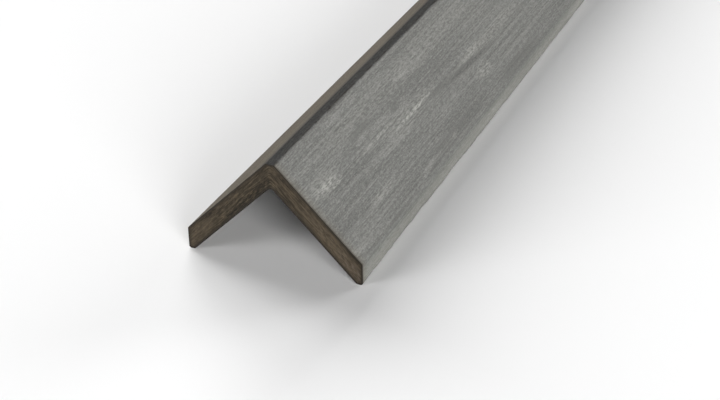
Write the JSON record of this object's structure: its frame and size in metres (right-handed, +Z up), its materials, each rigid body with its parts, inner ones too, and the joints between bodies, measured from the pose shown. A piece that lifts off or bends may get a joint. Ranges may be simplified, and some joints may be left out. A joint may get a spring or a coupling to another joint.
{
  "type": "corner guard moulding",
  "caption": "Right-angle corner guard moulding with bevelled leg tips, a chamfered nose and brushed grey faces, to cover and protect an outside wall corner.",
  "frame": {"origin": "on the floor, midway along the stock and midway between the two feet, with the nose above it", "axes": "+Y along the stock, +X across the section towards the right leg, +Z up through the nose"},
  "size_m": [0.063, 1.22, 0.0377],
  "materials": {
    "grey_composite": "matte"
  },
  "bodies": {
    "root": {"corner_guard": "grey_composite"}
  },
  "joints": []
}
